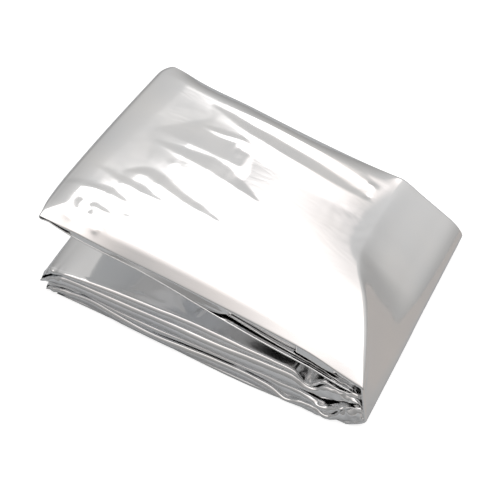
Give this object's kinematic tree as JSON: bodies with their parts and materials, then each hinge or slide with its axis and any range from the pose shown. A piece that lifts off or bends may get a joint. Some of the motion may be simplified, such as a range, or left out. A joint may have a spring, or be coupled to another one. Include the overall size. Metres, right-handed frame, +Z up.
{
  "type": "emergency foil blanket",
  "caption": "Folded silver foil blanket: a strip of shiny crinkled film laid back and forth and doubled over a spine, its upper packet leaning open over the lower one.",
  "frame": {"origin": "middle of the bounding box, on the surface that the blanket rests on", "axes": "+X along the folded strip from its loose left folds to the spine, +Y from the open front edge to the back, +Z up"},
  "size_m": [0.1302, 0.0958, 0.0435],
  "materials": {
    "film": "bright, mirror-like metallised polyester film with fine crinkles and soft creases"
  },
  "bodies": {
    "root": {"foil_blanket": "film"}
  },
  "joints": []
}
